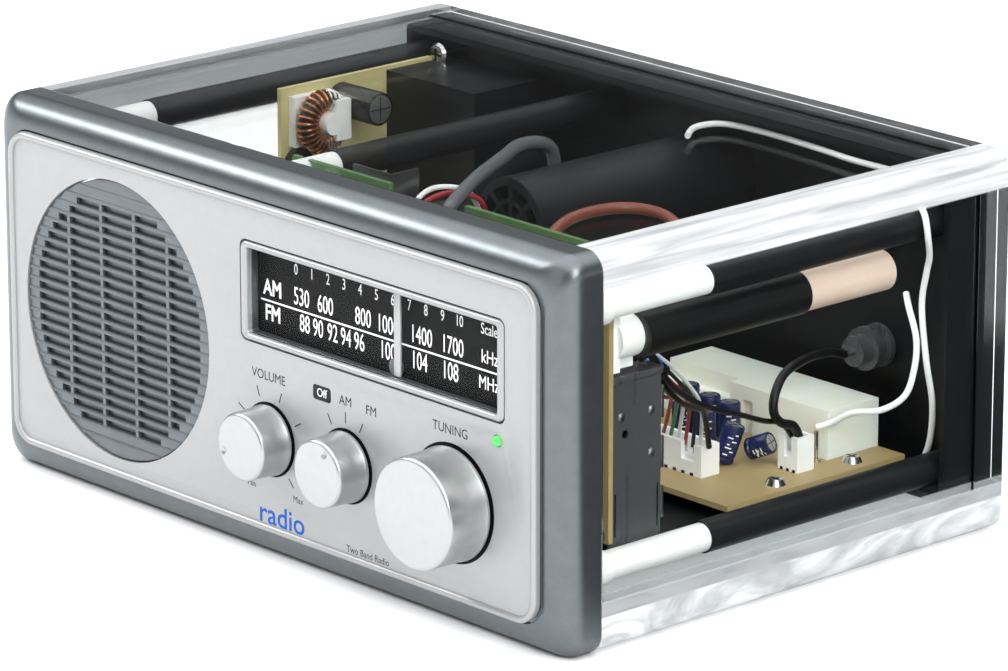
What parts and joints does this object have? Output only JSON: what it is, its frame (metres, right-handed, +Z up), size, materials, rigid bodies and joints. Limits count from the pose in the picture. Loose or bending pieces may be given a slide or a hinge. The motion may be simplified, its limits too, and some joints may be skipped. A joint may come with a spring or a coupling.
{
  "type": "table radio",
  "caption": "Two-band table radio in a clear box case: round speaker grille, tuning dial with a sliding pointer, three turning knobs and visible circuit parts inside.",
  "frame": {"origin": "under the middle of the whole radio, knob face to aerial jack, at the base it stands on", "axes": "+X to the viewer's right along the front, -Y out of the front panel, +Z up"},
  "size_m": [0.24, 0.1896, 0.11],
  "materials": {
    "black_plastic": "satin",
    "black_sleeve": "satin",
    "blue_plastic": "gloss",
    "bright_screw": "polished",
    "brown_sleeve": "satin",
    "capacitor_sleeve": "gloss",
    "clear_acrylic": "polished",
    "cone_paper": "matt",
    "copper_wire": "enamelled",
    "cream_board": "matt",
    "dial_black": "gloss",
    "ferrite": "matt",
    "green_board": "matt",
    "green_lens": "gloss",
    "grey_sleeve": "satin",
    "grille_grey": "satin",
    "gunmetal_paint": "satin",
    "knob_silver": "satin",
    "magnet_grey": "matt",
    "milky_plastic": "satin",
    "paper_beige": "matt",
    "phenolic_tan": "matt",
    "red_sleeve": "satin",
    "silver_paint": "satin",
    "steel": "brushed",
    "tinned_brass": "polished",
    "white_plastic": "satin",
    "white_sleeve": "satin"
  },
  "bodies": {
    "radio": {"front_bezel": "gunmetal_paint", "front_panel": "silver_paint", "speaker_grille": "grille_grey", "window_frame": "silver_paint", "dial_window": "clear_acrylic", "dial_plate": "dial_black", "volume_control": "steel", "band_switch": "steel", "power_led": "green_lens", "speaker_basket": "black_plastic", "speaker_cone": "cone_paper", "speaker_magnet": "magnet_grey", "inner_frame": "white_plastic", "clear_case": "clear_acrylic", "rear_cover": "black_plastic", "rear_posts": "black_plastic", "case_screws": "bright_screw", "chassis_tray": "black_plastic", "main_board": "phenolic_tan", "board_screws": "bright_screw", "wide_connector": "white_plastic", "small_connector": "white_plastic", "board_capacitors": "capacitor_sleeve", "coil_block": "milky_plastic", "aerial_pin": "tinned_brass", "tuner_board": "phenolic_tan", "tuning_can": "steel", "blue_trimmer": "blue_plastic", "control_board": "green_board", "board_bracket": "steel", "ferrite_holder": "white_plastic", "ferrite_sleeve": "black_sleeve", "paper_tube": "paper_beige", "ferrite_rod": "ferrite", "power_board": "cream_board", "choke_former": "white_plastic", "choke_winding": "copper_wire", "filter_capacitor": "capacitor_sleeve", "disc_suppressor": "black_plastic", "transformer_box": "black_plastic", "round_duct": "black_plastic", "aerial_jack": "tinned_brass", "cover_screw": "bright_screw", "aerial_wire": "white_sleeve", "aerial_branch": "white_sleeve", "jack_lead": "black_sleeve", "ferrite_leads": "black_sleeve", "harness_wires": "red_sleeve", "grey_cable": "grey_sleeve", "twisted_leads": "red_sleeve", "brown_lead": "brown_sleeve"},
    "volume_control_knob": {"volume_knob": "knob_silver", "volume_spindle": "steel"},
    "band_control_knob": {"band_knob": "knob_silver", "band_spindle": "steel"},
    "tuning_control_knob": {"tuning_knob": "knob_silver", "tuning_spindle": "steel"},
    "pointer_bar": {"dial_pointer": "white_plastic"}
  },
  "joints": [
    {"name": "volume_turn", "type": "hinge", "parent": "radio", "child": "volume_control_knob", "pos_m": [0.0033, -0.0802, 0.0354], "axis": [0, 1, 0], "range_deg": [-40, 248]},
    {"name": "band_turn", "type": "hinge", "parent": "radio", "child": "band_control_knob", "pos_m": [0.0353, -0.0802, 0.0354], "axis": [0, 1, 0], "range_deg": [-57, 0]},
    {"name": "tuning_turn", "type": "hinge", "parent": "radio", "child": "tuning_control_knob", "pos_m": [0.0779, -0.0802, 0.0354], "axis": [0, 1, 0], "range_deg": [-722, 357]},
    {"name": "pointer_slide", "type": "slide", "parent": "radio", "child": "pointer_bar", "axis": [1, 0, 0], "range_m": [-0.0445, 0.022]}
  ],
  "couplings": [
    {"joint": "pointer_slide", "follows": "tuning_turn", "m_per_rad": 0.0035}
  ]
}
